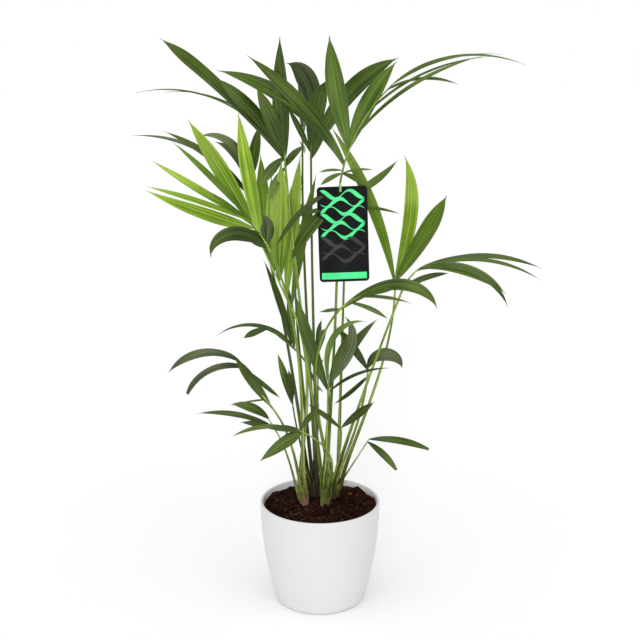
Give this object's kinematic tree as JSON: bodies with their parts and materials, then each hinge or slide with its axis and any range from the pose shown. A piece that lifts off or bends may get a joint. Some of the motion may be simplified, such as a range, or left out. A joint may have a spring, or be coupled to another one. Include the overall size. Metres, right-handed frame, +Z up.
{
  "type": "kentia palm in pot",
  "caption": "Young indoor palm with arching feather fronds on slender stalks, growing in a tapered white pot, with a black patterned hang card",
  "frame": {"origin": "centre of the pot's flat underside", "axes": "+Z up along the plant, -Y towards the front where the hang card faces, +X to the right seen from the front"},
  "size_m": [0.6861, 0.4452, 0.9761],
  "materials": {
    "pot": "satin white",
    "soil": "loose dark peat with bark chips",
    "sheath_red": "dry reddish leaf sheath",
    "sheath_brown": "dry brown fibrous leaf sheath",
    "sheath_green": "smooth green leaf sheath",
    "stalk": "smooth waxy green",
    "leaf_dark": "waxy dark green",
    "leaf_middle": "waxy green",
    "leaf_bright": "waxy yellow-green",
    "leaf_grey": "grey-green with a soft sheen",
    "card": "coated black card",
    "strap": "flexible green plastic"
  },
  "bodies": {
    "root": {"pot": "pot", "soil": "soil", "stem_left": "sheath_red", "stem_middle": "sheath_brown", "stem_front": "sheath_green", "stem_right": "sheath_brown", "label_card": "card", "label_strap": "strap", "stalk_crown_left": "stalk", "stalk_crown_right": "stalk", "stalk_left_back": "stalk", "stalk_young_left": "stalk", "stalk_right_upright": "stalk", "stalk_right_arch": "stalk", "stalk_left_arch": "stalk", "stalk_crown_back": "stalk", "stalk_low_left": "stalk", "stalk_low_front": "stalk", "stalk_left_mid": "stalk", "stalk_front_left": "stalk", "stalk_right_mid": "stalk", "stalk_centre": "stalk", "stalk_right_small": "stalk", "stalk_low_fork": "stalk", "stalk_low_right": "stalk", "stalk_left_low": "stalk", "stalk_back_left": "stalk", "stalk_back_right": "stalk", "stalk_back_high": "stalk", "stalk_back_low": "stalk", "frond_crown_left": "leaf_dark", "frond_crown_right": "leaf_middle", "frond_left_back": "leaf_grey", "frond_young_left": "leaf_bright", "frond_right_upright": "leaf_bright", "frond_right_arch": "leaf_dark", "frond_left_arch": "leaf_grey", "frond_crown_back": "leaf_middle", "frond_low_left": "leaf_dark", "frond_low_front": "leaf_dark", "frond_left_mid": "leaf_dark", "frond_front_left": "leaf_dark", "frond_right_mid": "leaf_dark", "frond_centre": "leaf_dark", "frond_right_small": "leaf_dark", "frond_low_fork": "leaf_dark", "frond_low_right": "leaf_middle", "frond_left_low": "leaf_dark", "frond_back_left": "leaf_middle", "frond_back_right": "leaf_dark", "frond_back_high": "leaf_middle", "frond_back_low": "leaf_dark"}
  },
  "joints": []
}
